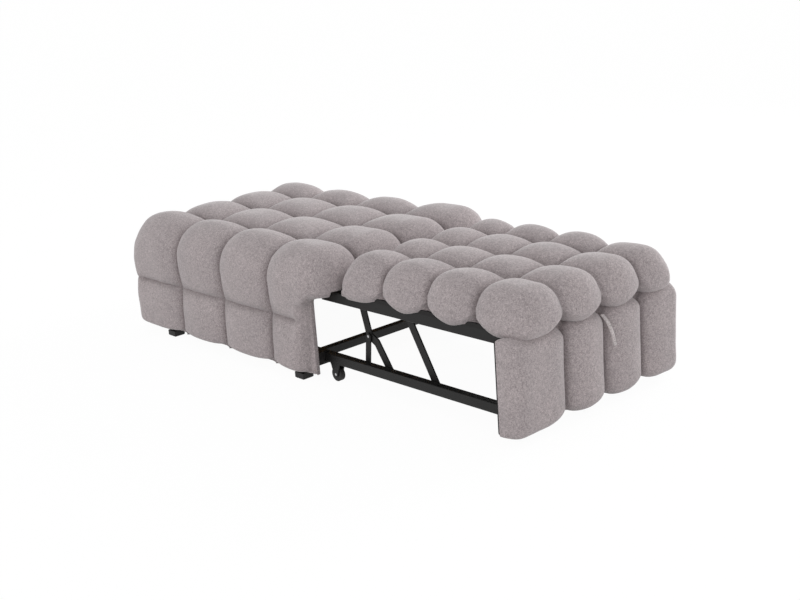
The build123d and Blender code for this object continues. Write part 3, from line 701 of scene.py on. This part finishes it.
# Finishes of the carried-over parts
def hard_material(name, base, roughness, metallic=0.0):
    """Steel, plastic or painted board, with a fine grain and light wear."""
    material, tree, shader = node_material(name)
    coordinates = object_coordinates(tree)
    grain = texture(tree, "ShaderNodeTexNoise", coordinates, scale=900.0, Detail=2.0, Roughness=0.5)
    wear = texture(tree, "ShaderNodeTexNoise", coordinates, scale=22.0, Detail=4.0, Roughness=0.6)
    lighter = tuple(min(1.0, channel * 1.5 + 0.004) for channel in base)
    colour = ramp(tree, wear.outputs["Fac"], ((0.35, base), (0.75, lighter)))
    spread = ramp(tree, wear.outputs["Fac"], ((0.3, grey(roughness - 0.06)), (0.7, grey(roughness + 0.08))))
    tree.links.new(colour, shader.inputs["Base Color"])
    tree.links.new(spread, shader.inputs["Roughness"])
    shader.inputs["Specular IOR Level"].default_value = 0.25
    shader.inputs["Metallic"].default_value = metallic
    bumped(tree, shader, ((grain.outputs["Fac"], 0.0002, 0.25),))
    return material


def plywood_material():
    """Pale plywood with long grain."""
    material, tree, shader = node_material("plywood")
    stretch = tree.nodes.new("ShaderNodeMapping")
    tree.links.new(object_coordinates(tree), stretch.inputs["Vector"])
    stretch.inputs["Scale"].default_value = (2.0, 26.0, 26.0)
    along = stretch.outputs["Vector"]
    grain = texture(tree, "ShaderNodeTexNoise", along, scale=6.0, Detail=6.0, Roughness=0.6)
    colours = ((0.3, (0.42, 0.29, 0.17)), (0.55, (0.56, 0.42, 0.27)), (0.8, (0.66, 0.52, 0.36)))
    tree.links.new(ramp(tree, grain.outputs["Fac"], colours), shader.inputs["Base Color"])
    shader.inputs["Roughness"].default_value = 0.7
    bumped(tree, shader, ((grain.outputs["Fac"], 0.0004, 0.3),))
    return material


finishes = {
    "black_steel": hard_material("black_steel", (0.008, 0.0075, 0.0075), roughness=0.46),
    "bright_steel": hard_material("bright_steel", (0.42, 0.42, 0.43), roughness=0.32, metallic=1.0),
    "black_plastic": hard_material("black_plastic", (0.012, 0.011, 0.011), roughness=0.5),
    "black_board": hard_material("black_board", (0.009, 0.008, 0.008), roughness=0.62),
    "plywood": plywood_material(),
    "cover_fabric": cover_fabric,
    "strap_fabric": strap_fabric,
}
for row in frame["record"]["subparts"]:
    node = frame["nodes"].get(row["node"])
    if node is not None:
        node.data.materials.clear()
        node.data.materials.append(finishes[row["material_slot"]])

# Floor: white to the camera and to reflections, but for the small share that carries the shadow
floor_half = 60
floor_white = 0.88
floor_glow = 1.02
floor_glow_share = 0.94


def floor_material():
    """White floor that keeps the object's shadow."""
    material, tree, shader = node_material("floor")
    shader.inputs["Base Color"].default_value = (*grey(floor_white), 1.0)
    shader.inputs["Roughness"].default_value = 0.9
    shader.inputs["Specular IOR Level"].default_value = 0.1
    glow = tree.nodes.new("ShaderNodeEmission")
    glow.inputs["Strength"].default_value = floor_glow
    seen = tree.nodes.new("ShaderNodeLightPath")
    either = tree.nodes.new("ShaderNodeMath")
    either.operation = "MAXIMUM"
    tree.links.new(seen.outputs["Is Camera Ray"], either.inputs[0])
    tree.links.new(seen.outputs["Is Glossy Ray"], either.inputs[1])
    part = tree.nodes.new("ShaderNodeMath")
    part.operation = "MULTIPLY"
    part.inputs[1].default_value = floor_glow_share
    tree.links.new(either.outputs[0], part.inputs[0])
    blend = tree.nodes.new("ShaderNodeMixShader")
    tree.links.new(part.outputs[0], blend.inputs["Fac"])
    tree.links.new(shader.outputs["BSDF"], blend.inputs[1])
    tree.links.new(glow.outputs["Emission"], blend.inputs[2])
    tree.links.new(blend.outputs["Shader"], tree.nodes["Material Output"].inputs["Surface"])
    return material


floor_corners = [
    (-floor_half, -floor_half, 0),
    (floor_half, -floor_half, 0),
    (floor_half, floor_half, 0),
    (-floor_half, floor_half, 0),
]
floor_mesh = bpy.data.meshes.new("floor")
floor_mesh.from_pydata(floor_corners, [], [(0, 1, 2, 3)])
floor = bpy.data.objects.new("floor", floor_mesh)
bpy.context.scene.collection.objects.link(floor)
floor_mesh.materials.append(floor_material())

# Surroundings: white to the camera, and a soft sky, darker overhead, that lights the object
sky_strength = 0.97
sky_stops = ((0.0, grey(1.0)), (0.25, grey(0.96)), (1.0, grey(0.56)))

world = bpy.data.worlds.new("world")
bpy.context.scene.world = world
world.use_nodes = True
world_tree = world.node_tree
sky = world_tree.nodes["Background"]
sky_place = world_tree.nodes.new("ShaderNodeTexCoord")
sky_height = world_tree.nodes.new("ShaderNodeSeparateXYZ")
world_tree.links.new(sky_place.outputs["Generated"], sky_height.inputs["Vector"])
world_tree.links.new(ramp(world_tree, sky_height.outputs["Z"], sky_stops), sky.inputs["Color"])
sky.inputs["Strength"].default_value = sky_strength
white = world_tree.nodes.new("ShaderNodeBackground")
white.inputs["Color"].default_value = (*grey(1.0), 1.0)
white.inputs["Strength"].default_value = 1.0
ray = world_tree.nodes.new("ShaderNodeLightPath")
choice = world_tree.nodes.new("ShaderNodeMixShader")
world_tree.links.new(ray.outputs["Is Camera Ray"], choice.inputs["Fac"])
world_tree.links.new(sky.outputs["Background"], choice.inputs[1])
world_tree.links.new(white.outputs["Background"], choice.inputs[2])
world_tree.links.new(choice.outputs["Shader"], world_tree.nodes["World Output"].inputs["Surface"])


def area_light(name, place, target, size, power):
    """A square soft lamp that looks at the target."""
    data = bpy.data.lights.new(name, "AREA")
    data.size = size
    data.energy = power
    lamp = bpy.data.objects.new(name, data)
    lamp.location = place
    aim = Vector(target) - Vector(place)
    lamp.rotation_euler = aim.to_track_quat("-Z", "Y").to_euler()
    bpy.context.scene.collection.objects.link(lamp)


area_light("key", place=(0.9, 3.9, 1.8), target=(0.0, 0.0, 0.25), size=1.6, power=84.0)
area_light("fill", place=(-0.4, -3.9, 0.9), target=(0.0, 0.0, 0.2), size=2.2, power=12.0)

# Camera at the photograph's viewing angle, with its focal length in pixels
camera_place = Vector((2.892, -2.460, 1.271))
camera_yaw = radians(48.53)
camera_pitch = radians(16.38)
camera_roll = radians(-4.22)
camera_focal = 1238.8
image_width = 800
sensor_width = 36.0

ahead = Vector((
    -sin(camera_yaw) * cos(camera_pitch),
    cos(camera_yaw) * cos(camera_pitch),
    -sin(camera_pitch),
))
level_right = Vector((cos(camera_yaw), sin(camera_yaw), 0.0))
level_up = level_right.cross(ahead)
right = level_right * cos(camera_roll) + level_up * sin(camera_roll)
upward = level_up * cos(camera_roll) - level_right * sin(camera_roll)
camera_turn = Matrix((right, upward, -ahead)).transposed().to_4x4()
camera_data = bpy.data.cameras.new("camera")
camera_data.sensor_width = sensor_width
camera_data.lens = camera_focal * sensor_width / image_width
camera = bpy.data.objects.new("camera", camera_data)
camera.matrix_world = Matrix.Translation(camera_place) @ camera_turn
bpy.context.scene.collection.objects.link(camera)
bpy.context.scene.camera = camera
bpy.context.scene.view_settings.view_transform = "Standard"
